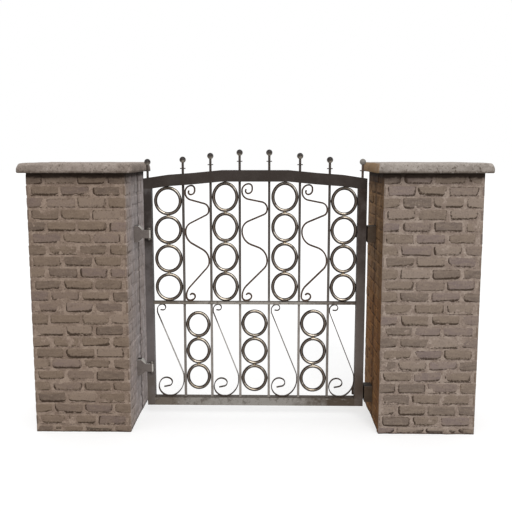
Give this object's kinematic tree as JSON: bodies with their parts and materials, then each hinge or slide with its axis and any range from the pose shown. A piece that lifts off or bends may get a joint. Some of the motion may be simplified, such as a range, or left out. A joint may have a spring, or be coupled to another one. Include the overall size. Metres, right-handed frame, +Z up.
{
  "type": "metal garden gate with brick pillars",
  "caption": "Arched metal bar gate with ring and scroll infill and ball finials, hung on strap hinges between two brick pillars with cap stones.",
  "frame": {"origin": "floor level, middle of the opening between the pillars, middle of the pillar depth", "axes": "+X across the opening from the hinge side to the closing side, -Y towards the front, where the leaf opens to, +Z up"},
  "size_m": [2.376, 0.586, 1.4835],
  "materials": {
    "brick": "rough weathered clay brick with thick sand-coloured mortar joints",
    "cap_stone": "rough weathered cast stone",
    "frame_bar": "weathered dark brown-grey paint, satin",
    "infill_bar": "weathered brown-grey paint, satin",
    "ring_bar": "worn bronze-coloured paint, half gloss",
    "finial_iron": "weathered dark paint",
    "hinge_iron": "worn grey-brown paint, satin"
  },
  "bodies": {
    "pillars": {"left_pillar": "brick", "right_pillar": "brick", "left_cap": "cap_stone", "right_cap": "cap_stone", "hinge_bracket_upper": "hinge_iron", "hinge_bracket_lower": "hinge_iron", "stop_bracket_upper": "hinge_iron", "stop_bracket_lower": "hinge_iron"},
    "leaf": {"hinge_stile": "frame_bar", "closing_stile": "frame_bar", "arched_top_bar": "frame_bar", "mid_rail": "frame_bar", "bottom_rail": "frame_bar", "hinge_lugs_upper": "hinge_iron", "hinge_lugs_lower": "hinge_iron", "hinge_pin_upper": "hinge_iron", "hinge_pin_lower": "hinge_iron", "upright_1": "infill_bar", "upright_2": "infill_bar", "upright_3": "infill_bar", "upright_4": "infill_bar", "upright_5": "infill_bar", "upright_6": "infill_bar", "finial_1": "finial_iron", "finial_2": "finial_iron", "finial_3": "finial_iron", "finial_4": "finial_iron", "finial_5": "finial_iron", "finial_6": "finial_iron", "finial_7": "finial_iron", "finial_8": "finial_iron", "upper_rings_1": "ring_bar", "upper_rings_2": "ring_bar", "upper_rings_3": "ring_bar", "upper_rings_4": "ring_bar", "lower_rings_1": "ring_bar", "lower_rings_2": "ring_bar", "lower_rings_3": "ring_bar", "wave_scroll_1": "infill_bar", "wave_scroll_2": "infill_bar", "wave_scroll_3": "infill_bar", "diagonal_scroll_1": "infill_bar", "diagonal_scroll_2": "infill_bar", "diagonal_scroll_3": "infill_bar", "diagonal_scroll_4": "infill_bar"}
  },
  "joints": [
    {"name": "leaf_hinge", "type": "hinge", "parent": "pillars", "child": "leaf", "pos_m": [-0.572, -0.04, 0.66], "axis": [0, 0, -1], "range_deg": [0, 90]}
  ]
}
